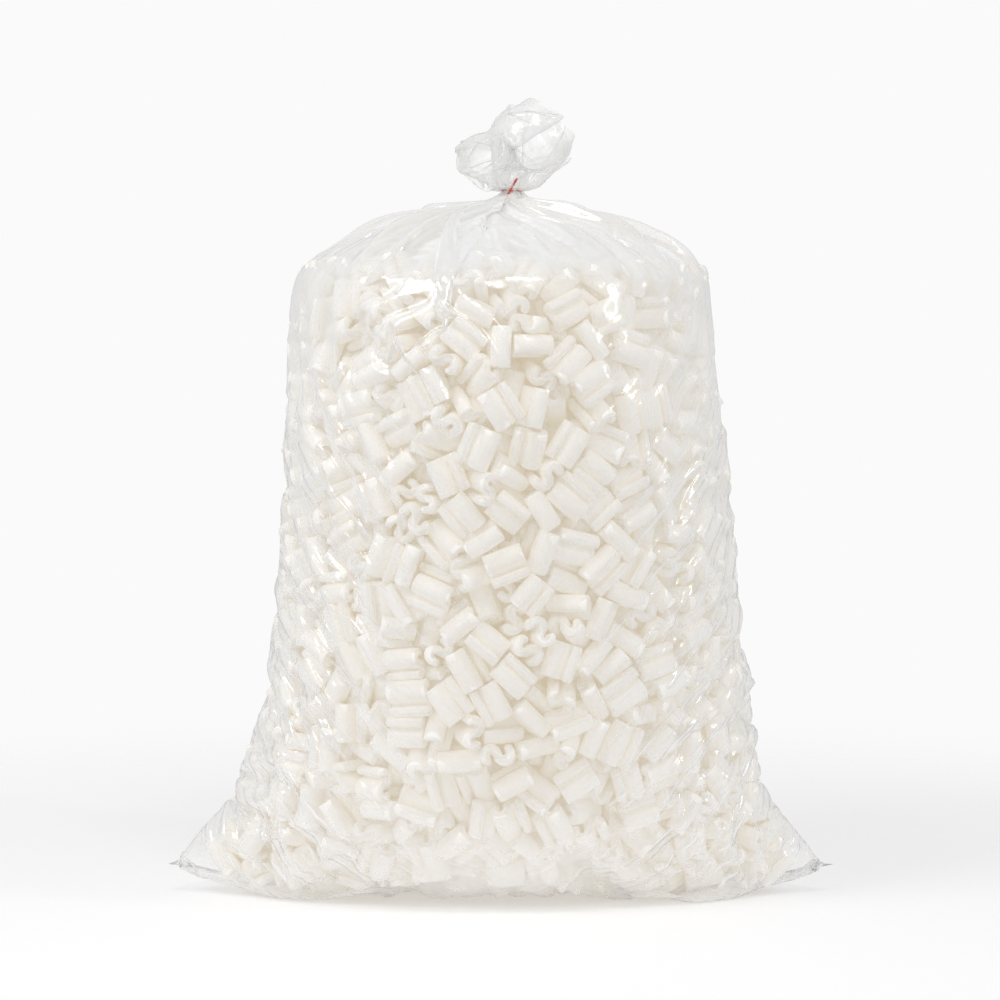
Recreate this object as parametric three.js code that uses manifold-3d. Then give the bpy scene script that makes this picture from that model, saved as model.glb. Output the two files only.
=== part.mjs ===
// A tied clear film bag of loose-fill packing peanuts, standing on its bottom seal.
//
// Frame: millimetres, +Z up, the bag's front facing -Y, its bottom seal running along X.
// The origin is on the floor, under the middle of the bag's footprint.
//
// Pieces: the film bag (one tube of film, sealed flat at the bottom and gathered at the neck),
// the twist tie round the neck, the loose top layer of peanuts, each one its own mesh, and the
// rest of the peanuts joined into one core.
import * as THREE from "three";
import { mergeVertices } from "three/addons/utils/BufferGeometryUtils.js";
import Module from "manifold-3d";

const wasm = await Module();
wasm.setup();

// Driving dimensions of the bag.
const EAR_HALF_SPAN = 315; // bottom seal, from the middle to the tip of an ear
const EAR_LIFT = 28; // height of an ear's tip above the floor
const BODY_HALF_WIDTH = 217; // across X at mid height
const BODY_HALF_DEPTH = 203; // across Y at mid height
const SHOULDER_Z = 578; // where the wall turns in towards the neck
const NECK_Z = 672; // middle of the tied neck
const NECK_RADIUS = 11.6; // bunched film under the tie
const NECK_X = 10; // the neck stands a little to the right of the middle
const MOUTH_Z = 755; // highest point of the open film above the tie
const MOUTH_HALF_WIDTH = 57;
const MOUTH_HALF_DEPTH = 38;
const FILM_WALL = 1.2; // drawn thicker than the real 0.05 mm film so that it is a solid
const THROAT_RADIUS = 4; // way through the bunched film
const FILL_GAP = 0.6; // between the film and the core

// Driving dimensions of a peanut: a foam strip bent into an S and cut to length.
const STRIP_THICKNESS = 8;
const LOBE_HALF_WIDTH = 5.5; // of the strip's middle line, half across one lobe
const LOBE_HALF_HEIGHT = 7.2;
const LOBE_SWEEP = (205 * Math.PI) / 180;
const PEANUT_LENGTH = 37;
const PEANUT_HALF_HEIGHT = LOBE_HALF_HEIGHT + STRIP_THICKNESS / 2;
const PEANUT_HALF_WIDTH = 2 * LOBE_HALF_WIDTH + STRIP_THICKNESS / 2;

// The loose top layer lies in rings on the core's flat top.
const CORE_TOP_Z = 566;
const LOOSE_RINGS = [
  { radius: 0, count: 1 },
  { radius: 41, count: 5 },
  { radius: 81, count: 11 },
  { radius: 121, count: 16 },
  { radius: 161, count: 19 },
];
const OUTER_RING = LOOSE_RINGS.length - 1;
const YAW_SPREAD = 0.2; // how far, in radians, a loose peanut turns from its ring's line
const REST_GAP = 0.4;

// Driving dimensions of the twist tie.
const TIE_WIDTH = 4;
const TIE_THICKNESS = 0.9;
const TIE_INNER_RADIUS = 12.4;
const TIE_TAIL_LENGTH = 24;
const TIE_TAIL_TURNS = 2.5;

const RING_SIDES = 48;
const PLEATS = 12;

const group = new THREE.Group();

// Adds one named mesh to the part.
function addPiece(name, geometry, material, place = new THREE.Matrix4()) {
  const mesh = new THREE.Mesh(geometry, material);
  mesh.name = name;
  mesh.applyMatrix4(place);
  group.add(mesh);
  return mesh;
}

// Smooth step from 0 at low to 1 at high.
function ramp(value, low, high) {
  return THREE.MathUtils.smoothstep(value, low, high);
}

// A closed surface through rings of points, each ring going round the same way. The first
// and last rings are closed by a fan to their middles.
function loftRings(rings) {
  const sides = rings[0].length;
  const points = rings.flat();
  const faces = [];
  for (let row = 0; row + 1 < rings.length; row += 1) {
    for (let side = 0; side < sides; side += 1) {
      const a = row * sides + side;
      const b = row * sides + ((side + 1) % sides);
      faces.push(a, b, a + sides, b, b + sides, a + sides);
    }
  }
  const closeEnd = (start, flip) => {
    const ring = points.slice(start, start + sides);
    const middle = ring.reduce((sum, p) => sum.add(p), new THREE.Vector3());
    const hub = points.push(middle.divideScalar(sides)) - 1;
    for (let side = 0; side < sides; side += 1) {
      const a = start + side;
      const b = start + ((side + 1) % sides);
      faces.push(...(flip ? [hub, b, a] : [hub, a, b]));
    }
  };
  closeEnd(0, true);
  closeEnd((rings.length - 1) * sides, false);
  const geometry = new THREE.BufferGeometry().setFromPoints(points);
  geometry.setIndex(faces);
  return geometry;
}

// Turns a three.js geometry into a manifold-3d solid.
function toSolid(geometry) {
  const bare = geometry.clone();
  bare.deleteAttribute("normal");
  bare.deleteAttribute("uv");
  const merged = mergeVertices(bare, 1e-4);
  return new wasm.Manifold(
    new wasm.Mesh({
      numProp: 3,
      vertProperties: new Float32Array(merged.attributes.position.array),
      triVerts: new Uint32Array(merged.index.array),
    }),
  );
}

// Turns a manifold-3d solid back into a three.js geometry.
function fromSolid(solid) {
  const mesh = solid.getMesh();
  const geometry = new THREE.BufferGeometry();
  geometry.setAttribute("position", new THREE.BufferAttribute(mesh.vertProperties, 3));
  geometry.setIndex(new THREE.BufferAttribute(mesh.triVerts, 1));
  return geometry;
}

// ---- The film bag -------------------------------------------------------------------------

// Stations up the bag, bottom to neck. Each is a closed section:
//   width, depth: its half extents; middle, ends: its height at the front and at the ears;
//   point: 0 for a round end, 1 for the pointed end that a flat seal leaves.
const BODY_STATIONS = [
  { width: 292, depth: 182, middle: 0, ends: 20, point: 1.0 },
  { width: EAR_HALF_SPAN, depth: 200, middle: 8, ends: EAR_LIFT, point: 0.9 },
  { width: 304, depth: 207, middle: 30, ends: 44, point: 0.8 },
  { width: 288, depth: 209, middle: 55, ends: 63, point: 0.65 },
  { width: 262, depth: 209, middle: 88, ends: 92, point: 0.45 },
  { width: 247, depth: 208, middle: 128, ends: 130, point: 0.28 },
  { width: 232, depth: 206, middle: 188, ends: 188, point: 0.12 },
  { width: 223, depth: 205, middle: 260, ends: 260, point: 0 },
  { width: BODY_HALF_WIDTH, depth: BODY_HALF_DEPTH, middle: 350, ends: 350, point: 0 },
  { width: 210, depth: 200, middle: 440, ends: 440, point: 0 },
  { width: 203, depth: 196, middle: 520, ends: 520, point: 0 },
  { width: 199, depth: 193, middle: SHOULDER_Z, ends: SHOULDER_Z, point: 0 },
  { width: 187, depth: 182, middle: 600, ends: 600, point: 0 },
  { width: 160, depth: 156, middle: 620, ends: 620, point: 0 },
  { width: 122, depth: 119, middle: 637, ends: 637, point: 0 },
  { width: 82, depth: 80, middle: 649, ends: 649, point: 0 },
  { width: 44, depth: 43, middle: 658, ends: 658, point: 0 },
];

// Stations of the bunched neck and the open film above it.
const NECK_STATIONS = [
  { width: 20, depth: 20, middle: 664 },
  { width: NECK_RADIUS, depth: NECK_RADIUS, middle: NECK_Z - 4 },
  { width: NECK_RADIUS, depth: NECK_RADIUS, middle: NECK_Z + 4 },
  { width: 20, depth: 17, middle: 684 },
  { width: 38, depth: 28, middle: 698 },
  { width: 52, depth: 35, middle: 718 },
  { width: MOUTH_HALF_WIDTH, depth: MOUTH_HALF_DEPTH, middle: 738 },
  { width: 50, depth: 33, middle: MOUTH_Z },
].map((station) => ({ ...station, ends: station.middle, point: 0 }));

// The bag leans a little to the right at knee height and again at its neck.
function leanAt(z) {
  const knee = 7 * Math.exp(-(((z - 240) / 130) ** 2));
  return knee + NECK_X * ramp(z, SHOULDER_Z, NECK_Z);
}

// How deep the gathered pleats are, as a share of the radius, at a height.
function pleatDepth(z) {
  const below = ramp(z, SHOULDER_Z + 30, NECK_Z - 10);
  const inTie = 1 - Math.exp(-(((z - NECK_Z) / 9) ** 2));
  return 0.12 * below * inTie;
}

// One section of the bag as points, grown outwards by offset (negative for the inside).
function section(station, sides, offset = 0) {
  const width = Math.max(station.width + offset, THROAT_RADIUS);
  const depth = Math.max(station.depth + offset, THROAT_RADIUS);
  return Array.from({ length: sides }, (_, side) => {
    const angle = (side / sides) * 2 * Math.PI;
    const along = Math.cos(angle);
    const out = Math.sin(angle);
    const endShare = Math.abs(along) ** 7;
    const z = THREE.MathUtils.lerp(station.middle, station.ends, endShare);
    const pleat = 1 + pleatDepth(z) * Math.cos(PLEATS * angle);
    const pointed = out * Math.abs(out) ** station.point;
    return new THREE.Vector3(leanAt(z) + width * along * pleat, depth * pointed * pleat, z);
  });
}

// The underside: rings that shrink towards the middle, resting on the floor there and
// rising to the ears at both ends.
function undersideRings(sides, inset, floor) {
  const edge = BODY_STATIONS[0];
  return [0.3, 0.6, 0.85].map((share) =>
    section(edge, sides, -inset).map((p) => {
      const x = p.x * share;
      const lift = (edge.ends - floor) * ramp(Math.abs(x), 0.76 * edge.width, edge.width);
      return new THREE.Vector3(x, p.y * share, floor + lift);
    }),
  );
}

function buildFilmBag() {
  const stations = [...BODY_STATIONS, ...NECK_STATIONS];
  const outside = [
    ...undersideRings(RING_SIDES, 0, 0),
    ...stations.map((station) => section(station, RING_SIDES)),
  ];
  // Inside, the same stations one wall in, from the mouth down to the inner floor.
  const inside = stations
    .slice(0, -1)
    .map((station, row) => {
      const raised = row === 0 ? FILM_WALL : 0;
      const inner = { ...station, middle: station.middle + raised, ends: station.ends + raised };
      const inNeck = Math.abs(station.middle - NECK_Z) < 9;
      const inset = inNeck ? station.width - THROAT_RADIUS : wallInset(row);
      return section(inner, RING_SIDES, -inset);
    })
    .reverse();
  const rim = section({ ...stations.at(-1) }, RING_SIDES, -FILM_WALL);
  const innerFloor = undersideRings(RING_SIDES, wallInset(0), FILM_WALL).reverse();
  return loftRings([...outside, rim, ...inside, ...innerFloor]);
}

// The wall is measured square to the film, so a sloping section is inset further.
function wallInset(row) {
  const sloping = row <= 1 || row >= BODY_STATIONS.length - 4;
  return sloping ? 3 * FILM_WALL : FILM_WALL;
}

// ---- The core: the joined peanuts under the loose layer -----------------------------------

function buildCore() {
  const inset = FILM_WALL + FILL_GAP;
  const walls = BODY_STATIONS.filter((station) => station.middle < CORE_TOP_Z - 20).map(
    (station, row) => {
      const raised = row < 2 ? inset + 1 : 0;
      const grown = { ...station, middle: station.middle + raised, ends: station.ends + raised };
      return section(grown, RING_SIDES, row < 4 ? -4 * inset : -2 * inset);
    },
  );
  const top = { width: 196, depth: 190, middle: CORE_TOP_Z, ends: CORE_TOP_Z, point: 0 };
  const floor = undersideRings(RING_SIDES, 4 * inset, inset + 1);
  return loftRings([...floor, ...walls, section(top, RING_SIDES, -inset)]);
}

// ---- A peanut -----------------------------------------------------------------------------

// The S outline: two lobes of strip that curl opposite ways, with blunt tips.
function peanutShape() {
  const steps = 6;
  const half = STRIP_THICKNESS / 2;
  const outer = [];
  const inner = [];
  let tip;
  // One lobe runs from its tip to the S's middle; the other is the same turned half round.
  for (let step = 0; step < steps; step += 1) {
    const angle = LOBE_SWEEP * (1 - step / steps);
    const ray = new THREE.Vector2(
      LOBE_HALF_WIDTH * Math.cos(angle),
      LOBE_HALF_HEIGHT * Math.sin(angle),
    );
    const middle = ray.clone().sub(new THREE.Vector2(LOBE_HALF_WIDTH, 0));
    const square = new THREE.Vector2(
      Math.cos(angle) / LOBE_HALF_WIDTH,
      Math.sin(angle) / LOBE_HALF_HEIGHT,
    ).normalize();
    outer.push(middle.clone().addScaledVector(square, half));
    inner.push(middle.clone().addScaledVector(square, -half));
    tip ??= middle.clone().add(new THREE.Vector2(-square.y, square.x).multiplyScalar(0.5 * half));
  }
  const turned = (points) => points.map((p) => p.clone().negate());
  const oneSide = [tip, ...outer, ...turned(inner).reverse()];
  return new THREE.Shape([...oneSide, ...turned(oneSide)].reverse());
}

// The peanut lies with its length along X, its S in the YZ plane and its long side along Y.
function buildPeanut() {
  const geometry = new THREE.ExtrudeGeometry(peanutShape(), {
    depth: PEANUT_LENGTH,
    bevelEnabled: false,
    steps: 1,
  });
  geometry.translate(0, 0, -PEANUT_LENGTH / 2);
  geometry.rotateY(Math.PI / 2);
  geometry.rotateX(Math.PI / 2);
  return geometry;
}

// How a loose peanut can lie: flat on both lobes, on its narrow side, or up on a cut end.
const RESTS = {
  flat: { turn: new THREE.Euler(0, 0, 0), height: PEANUT_HALF_HEIGHT },
  side: { turn: new THREE.Euler(Math.PI / 2, 0, 0), height: PEANUT_HALF_WIDTH },
  end: { turn: new THREE.Euler(0, Math.PI / 2, 0), height: PEANUT_LENGTH / 2 },
};

function restOf(ring, index) {
  if (ring === OUTER_RING) {
    return RESTS.flat;
  }
  if (index % 7 === 3) {
    return RESTS.end;
  }
  return index % 3 === 1 ? RESTS.side : RESTS.flat;
}

// Where every loose peanut lies: spaced round its ring, and turned a little from its line.
function loosePlaces() {
  const places = [];
  LOOSE_RINGS.forEach(({ radius, count }, ring) => {
    for (let slot = 0; slot < count; slot += 1) {
      const index = places.length;
      const rest = restOf(ring, index);
      const angle = ((slot + 0.5 * ring) / count) * 2 * Math.PI;
      const yaw = angle + Math.PI / 2 + YAW_SPREAD * Math.sin(5.3 * index);
      const place = new THREE.Matrix4()
        .makeTranslation(
          radius * Math.cos(angle),
          0.97 * radius * Math.sin(angle),
          CORE_TOP_Z + rest.height + REST_GAP,
        )
        .multiply(new THREE.Matrix4().makeRotationZ(yaw))
        .multiply(new THREE.Matrix4().makeRotationFromEuler(rest.turn));
      places.push(place);
    }
  });
  return places;
}

// ---- The twist tie ------------------------------------------------------------------------

// The tie is a flat ribbon round the neck, whose two ends are twisted together in front.
function buildTwistTie() {
  const low = -TIE_WIDTH / 2;
  const outer = TIE_INNER_RADIUS + TIE_THICKNESS;
  const profile = [
    [TIE_INNER_RADIUS, low],
    [outer, low],
    [outer, -low],
    [TIE_INNER_RADIUS, -low],
    [TIE_INNER_RADIUS, low],
  ].map(([r, z]) => new THREE.Vector2(r, z));
  const band = new THREE.LatheGeometry(profile, 40);
  band.rotateX(Math.PI / 2);
  band.translate(NECK_X, 0, NECK_Z);

  // The twisted tail leaves the band at the front and leans up and to the right.
  const start = new THREE.Vector3(NECK_X - 3, -TIE_INNER_RADIUS - 1.7, NECK_Z - 1);
  const lean = new THREE.Vector3(0.55, -0.42, 0.72).normalize();
  const across = new THREE.Vector3(0, 0, 1).cross(lean).normalize();
  const up = lean.clone().cross(across);
  const steps = 24;
  const corners = [[-1, -1], [1, -1], [1, 1], [-1, 1]];
  const rings = Array.from({ length: steps + 1 }, (_, step) => {
    const share = step / steps;
    const turn = share * TIE_TAIL_TURNS * 2 * Math.PI;
    const centre = start.clone().addScaledVector(lean, share * TIE_TAIL_LENGTH);
    return corners.map(([w, t]) => {
      const wide = (w * TIE_WIDTH) / 2.4;
      const thick = t * TIE_THICKNESS;
      const a = wide * Math.cos(turn) - thick * Math.sin(turn);
      const b = wide * Math.sin(turn) + thick * Math.cos(turn);
      return centre.clone().addScaledVector(across, a).addScaledVector(up, b);
    });
  });
  return fromSolid(toSolid(band).add(toSolid(loftRings(rings))));
}

// ---- Materials and assembly ---------------------------------------------------------------

const clearFilm = new THREE.MeshStandardMaterial({
  color: 0xeeefee,
  roughness: 0.18,
  metalness: 0,
  transparent: true,
  opacity: 0.3,
});
const foam = new THREE.MeshStandardMaterial({ color: 0xfaf8f0, roughness: 0.9, metalness: 0 });
const tieRed = new THREE.MeshStandardMaterial({ color: 0xc0392b, roughness: 0.5, metalness: 0 });

addPiece("film_bag", buildFilmBag(), clearFilm);
addPiece("twist_tie", buildTwistTie(), tieRed);
addPiece("peanut_core", buildCore(), foam);
const peanut = buildPeanut();
loosePlaces().forEach((place, index) => {
  addPiece(`peanut_${String(index + 1).padStart(2, "0")}`, peanut, foam, place);
});

export default group;
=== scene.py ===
"""A tied clear film bag of loose-fill packing peanuts, on a pale floor.

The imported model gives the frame. This script adds the looks: the peanuts, packed one by one as
rigid bodies, the film bag, draped over them as cloth, and the red twist tie at its neck.
Lengths are in metres, +Z is up and the bag's front faces -Y.
"""

import logging
import math
from dataclasses import dataclass, field
from enum import Enum

import bpy
import numpy as np
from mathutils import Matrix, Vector


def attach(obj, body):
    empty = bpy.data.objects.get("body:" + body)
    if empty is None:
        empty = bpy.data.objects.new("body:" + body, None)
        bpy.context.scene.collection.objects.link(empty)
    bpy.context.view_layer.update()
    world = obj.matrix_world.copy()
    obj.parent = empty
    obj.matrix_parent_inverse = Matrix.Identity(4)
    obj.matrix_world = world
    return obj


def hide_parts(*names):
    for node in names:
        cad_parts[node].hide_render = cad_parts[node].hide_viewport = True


LOG = logging.getLogger("packing_peanut_bag")
TAU = 2.0 * math.pi
SEED = 20
BALLS = 6

Array = np.ndarray


# ---- Shared numpy helpers -----------------------------------------------------------------


def smoothstep(x: Array, low: float, high: float) -> Array:
    """Eases from 0 at low to 1 at high.

    Args:
        x: Values.
        low: Where the step starts.
        high: Where the step ends.

    Returns:
        The eased values.
    """
    t = np.clip((x - low) / (high - low), 0.0, 1.0)
    return t * t * (3.0 - 2.0 * t)


def unit(v: Array) -> Array:
    """Scales vectors to length one.

    Args:
        v: Vectors along the last axis.

    Returns:
        The unit vectors.
    """
    return v / np.maximum(np.linalg.norm(v, axis=-1, keepdims=True), 1e-12)


def new_mesh_object(name: str, points: Array, faces: list[Array]) -> bpy.types.Object:
    """Makes a smooth-shaded mesh object from whole arrays.

    Args:
        name: Name of the object and its mesh.
        points: Vertices.
        faces: Arrays of vertex indices, one array for each number of corners.

    Returns:
        The new object, linked to the scene.
    """
    mesh = bpy.data.meshes.new(name)
    corners = np.concatenate([f.ravel() for f in faces])
    totals = np.concatenate([np.full(len(f), f.shape[1]) for f in faces])
    starts = np.concatenate([[0], np.cumsum(totals)[:-1]])
    mesh.vertices.add(len(points))
    mesh.vertices.foreach_set("co", points.astype(np.float32).ravel())
    mesh.loops.add(len(corners))
    mesh.loops.foreach_set("vertex_index", corners.astype(np.int32))
    mesh.polygons.add(len(totals))
    mesh.polygons.foreach_set("loop_start", starts.astype(np.int32))
    mesh.polygons.foreach_set("loop_total", totals.astype(np.int32))
    mesh.polygons.foreach_set("use_smooth", np.ones(len(totals), dtype=bool))
    mesh.update(calc_edges=True)
    mesh.validate()
    obj = bpy.data.objects.new(name, mesh)
    bpy.context.scene.collection.objects.link(obj)
    LOG.info("%s: %d vertices, %d faces", name, len(points), len(totals))
    return obj


def add_attribute(obj: bpy.types.Object, name: str, values: Array) -> None:
    """Stores one number at each vertex for the materials to read.

    Args:
        obj: The mesh object.
        name: Name of the attribute.
        values: One value for each vertex.
    """
    layer = obj.data.attributes.new(name, "FLOAT", "POINT")
    layer.data.foreach_set("value", values.astype(np.float32).ravel())


# ---- The bag's form -----------------------------------------------------------------------


# height, reach to the left, reach to the right, pointedness (0 round, 1 pointed)
STATIONS = np.array(
    [
        (0.000, 0.290, 0.290, 1.00),
        (0.006, 0.316, 0.316, 0.95),
        (0.014, 0.315, 0.313, 0.90),
        (0.032, 0.298, 0.294, 0.66),
        (0.052, 0.286, 0.280, 0.52),
        (0.076, 0.266, 0.264, 0.42),
        (0.100, 0.255, 0.251, 0.34),
        (0.131, 0.245, 0.244, 0.26),
        (0.170, 0.230, 0.239, 0.22),
        (0.210, 0.220, 0.237, 0.12),
        (0.265, 0.216, 0.229, 0.05),
        (0.340, 0.210, 0.224, 0.00),
        (0.420, 0.208, 0.216, 0.00),
        (0.492, 0.203, 0.207, 0.00),
        (0.560, 0.201, 0.199, 0.00),
        (0.588, 0.196, 0.197, 0.00),
        (0.602, 0.184, 0.188, 0.00),
        (0.615, 0.164, 0.169, 0.00),
        (0.626, 0.143, 0.143, 0.00),
        (0.635, 0.122, 0.120, 0.00),
        (0.643, 0.088, 0.089, 0.00),
        (0.650, 0.054, 0.062, 0.00),
        (0.659, 0.016, 0.035, 0.00),
        (0.668, 0.000, 0.020, 0.00),
    ]
)


@dataclass
class BagForm:
    """The filled bag's outer form, as closed sections stacked up Z.

    A section at a height runs from the left side over the front, the right side and the back.
    Its ends are round, or pointed low down, where the flat seal pinches the two corners. At an
    angle t round the section, x is the half width times cos t, and y is the half depth times
    sin t and times the size of sin t to the power of the pointedness.
    """

    girth: float = 1.300
    ear_lift: float = 0.024
    ear_reach: float = 0.3175
    ear_tip: float = 0.3190
    hollow_z: float = 0.578
    hollow_slope: float = 0.20
    hollow_middle: float = 0.01
    floor_gap: float = 0.0030
    z: Array = field(init=False)
    centre: Array = field(init=False)
    half_width: Array = field(init=False)
    half_depth: Array = field(init=False)
    point: Array = field(init=False)

    def __post_init__(self) -> None:
        """Smooths the stations into closely spaced sections and finds their depths."""
        z, left, right, point = STATIONS.T
        self.z = np.linspace(0.0, z[-1], 669)
        rows = [np.interp(self.z, z, column) for column in (left, right, point)]
        kernel = np.hanning(17)
        kernel /= kernel.sum()
        smooth = [
            np.convolve(np.pad(row, 8, mode="reflect", reflect_type="odd"), kernel, "valid")
            for row in rows
        ]
        self.half_width = 0.5 * (smooth[0] + smooth[1])
        self.centre = 0.5 * (smooth[1] - smooth[0])
        self.point = np.clip(smooth[2], 0.0, 1.0)
        self.half_depth = self._depths()

    def _depths(self) -> Array:
        """Finds the depth that gives each section the film's girth, by halving the interval.

        Returns:
            Half the depth at each height.
        """
        t = np.linspace(0.0, TAU, 721)
        low, high = np.full_like(self.z, 0.01), np.full_like(self.z, 0.211)
        for _ in range(24):
            mid = 0.5 * (low + high)
            x = self.half_width[:, None] * np.cos(t)
            y = mid[:, None] * np.sin(t) * np.abs(np.sin(t)) ** self.point[:, None]
            girth = np.hypot(np.diff(x), np.diff(y)).sum(axis=1)
            low = np.where(girth < self.girth, mid, low)
            high = np.where(girth < self.girth, high, mid)
        tight = 0.5 * (low + high)
        base = self.z < 0.014
        tight[base] = tight[~base][0] * np.interp(self.z[base], [0.0, 0.014], [0.78, 1.0])
        shoulder = np.interp(self.z, [0.56, 0.62], [0.0, 1.0])
        return np.minimum(tight, self.half_width * (1.02 - 0.07 * shoulder))

    def lift(self, x: Array) -> Array:
        """How far the underside is off the floor.

        Args:
            x: Distance from the middle along the seal.

        Returns:
            The height, nil in the middle and largest at the corners.
        """
        return self.ear_lift * np.minimum(np.abs(x) / self.ear_reach, 1.1) ** 6.5

    def at(self, z: Array) -> tuple[Array, Array, Array, Array]:
        """The section's measures at heights.

        Args:
            z: Heights.

        Returns:
            Centre, half width, half depth and pointedness.
        """
        return tuple(
            np.interp(z, self.z, column)
            for column in (self.centre, self.half_width, self.half_depth, self.point)
        )

    def outside(self, p: Array) -> Array:
        """Distance outside the form, to first order; negative inside.

        Args:
            p: Points.

        Returns:
            One distance for each point.
        """
        z = p[..., 2] - self.lift(p[..., 0])
        cx, w, d, point = self.at(z)
        power = 2.0 / (1.0 + point)
        a = (p[..., 0] - cx) / w
        b = np.maximum(np.abs(p[..., 1]) / d, 1e-4)
        level = a * a + b**power - 1.0
        slope_x = 2.0 * a / w
        slope_y = power * b ** (power - 1.0) / d
        step = 0.002
        _, w2, d2, _ = self.at(z + step)
        a2 = (p[..., 0] - cx) / w2
        b2 = np.maximum(np.abs(p[..., 1]) / d2, 1e-4)
        slope_z = (a2 * a2 + b2**power - 1.0 - level) / step
        size = np.sqrt(slope_x**2 + slope_y**2 + slope_z**2)
        side = level / np.maximum(size, 1e-6)
        return np.maximum(side, self.floor_gap - z)

    def outside_fill(self, p: Array) -> Array:
        """Distance outside the room that the peanuts take up.

        It is the form, less the hollow under the neck: a wide cone, lowest in its middle.

        Args:
            p: Points.

        Returns:
            One distance for each point; negative inside.
        """
        radius = np.hypot(p[..., 0] - self.hollow_middle, p[..., 1])
        hollow = p[..., 2] - self.hollow_z - self.hollow_slope * radius
        return np.maximum(self.outside(p), hollow)

    def push(self, p: Array) -> Array:
        """Direction in which a point leaves the peanuts' room fastest.

        Args:
            p: Points.

        Returns:
            Unit vectors.
        """
        step = 0.0015
        grad = np.stack(
            [
                self.outside_fill(p + step * axis) - self.outside_fill(p - step * axis)
                for axis in np.eye(3)
            ],
            axis=-1,
        )
        return unit(grad)

    def slope(self, p: Array) -> Array:
        """Direction in which a point leaves the form fastest.

        Args:
            p: Points.

        Returns:
            Unit vectors.
        """
        step = 0.0015
        grad = np.stack(
            [self.outside(p + step * axis) - self.outside(p) for axis in np.eye(3)], axis=-1
        )
        return unit(grad)

    def section(self, z: Array, share: Array) -> Array:
        """Points on sections, spaced evenly by their length round each section.

        Args:
            z: Heights in the middle of the section, one for each row.
            share: Shares of the way round, from the left side over the front.

        Returns:
            Rows of points.
        """
        t = np.linspace(0.0, TAU, 1441)
        cx, w, d, point = (column[:, None] for column in self.at(z))
        x = cx - w * np.cos(t)
        y = -d * np.sin(t) * np.abs(np.sin(t)) ** point
        length = np.cumsum(np.hypot(np.diff(x), np.diff(y)), axis=1)
        length = np.concatenate([np.zeros((len(z), 1)), length], axis=1)
        length /= length[:, -1:]
        rows = [
            np.stack([np.interp(share, s, a), np.interp(share, s, b)], axis=-1)
            for s, a, b in zip(length, x, y)
        ]
        flat = np.array(rows)
        rise = np.exp(-((np.asarray(z) / 0.07) ** 2))[:, None] * self.lift(flat[..., 0])
        return np.concatenate([flat, (z[:, None] + rise)[..., None]], axis=-1)


# ---- The peanuts --------------------------------------------------------------------------


@dataclass(frozen=True)
class PeanutShape:
    """A foam strip bent into an S and cut to length, with soft edges and bulging sides."""

    length: float = 0.0375
    strip: float = 0.0082
    lobe_width: float = 0.0059
    lobe_height: float = 0.0061
    sweep: float = math.radians(222.0)
    steps: int = 7

    def outline(self) -> tuple[Array, Array]:
        """The S outline: one lobe of strip, then the same turned half round.

        A lobe is an arc of an ellipse, thickened square to itself. Its tip is blunt.

        Returns:
            The outline's points, and the strip's middle line beside each of them.
        """
        outer_at = self.sweep * (1.0 - np.arange(self.steps) / self.steps)
        inner_at = self.sweep * (1.0 - (np.arange(4) + 0.35) / 3.9)
        outer, line, square = self._beside(outer_at, 0.5 * self.strip)
        inner, inner_line, _ = self._beside(inner_at, -0.5 * self.strip)
        along = np.array([-square[0, 1], square[0, 0]])
        tip = line[0] + 0.42 * self.strip * along + 0.12 * self.strip * square[0]
        low_tip = line[0] + 0.30 * self.strip * along - 0.30 * self.strip * square[0]
        side = np.concatenate([[low_tip, tip], outer, -inner[::-1]])
        core = np.concatenate([[line[0], line[0]], line, -inner_line[::-1]])
        return np.concatenate([side, -side])[::-1], np.concatenate([core, -core])[::-1]

    def _beside(self, angle: Array, offset: float) -> tuple[Array, Array, Array]:
        """Points beside the middle line of a lobe.

        Args:
            angle: Angles round the lobe.
            offset: Distance from the middle line, outwards.

        Returns:
            The points, the middle line's points and the outward directions.
        """
        ray = np.stack([self.lobe_width * np.cos(angle), self.lobe_height * np.sin(angle)], -1)
        line = ray - np.array([self.lobe_width, 0.0])
        square = unit(
            np.stack([np.cos(angle) / self.lobe_width, np.sin(angle) / self.lobe_height], -1)
        )
        return line + offset * square, line, square

    def surface(self) -> tuple[Array, list[Array]]:
        """The peanut as rings of the outline along its length, closed at the cut ends.

        The rings draw in towards the strip's middle line near the ends, which rounds them.

        Returns:
            Points with the length along X, and the faces of each number of corners.
        """
        outline, line = self.outline()
        sides = len(outline)
        x = 0.5 * self.length * np.array([-1.0, -0.92, 0.0, 0.92, 1.0])
        share = np.array([0.80, 0.98, 1.06, 0.98, 0.80])[:, None, None]
        rings = line[None] + share * (outline - line)[None]
        points = np.concatenate(
            [np.broadcast_to(x[:, None, None], (5, sides, 1)), rings], axis=-1
        ).reshape(-1, 3)
        i = np.arange(sides)
        j = (i + 1) % sides
        walls = [
            np.stack([k * sides + i, k * sides + j, (k + 1) * sides + j, (k + 1) * sides + i], -1)
            for k in range(4)
        ]
        start = i[None]
        end = (4 * sides + i[::-1])[None]
        return points, [np.concatenate(walls), start[:, ::-1], end[:, ::-1]]


def turn_matrices(q: Array) -> Array:
    """Turns unit quaternions into matrices.

    Args:
        q: Quaternions, w first.

    Returns:
        One matrix for each.
    """
    w, x, y, z = q.T
    return np.stack(
        [
            1 - 2 * (y * y + z * z), 2 * (x * y - w * z), 2 * (x * z + w * y),
            2 * (x * y + w * z), 1 - 2 * (x * x + z * z), 2 * (y * z - w * x),
            2 * (x * z - w * y), 2 * (y * z + w * x), 1 - 2 * (x * x + y * y),
        ],
        axis=-1,
    ).reshape(-1, 3, 3)  # fmt: skip


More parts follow.
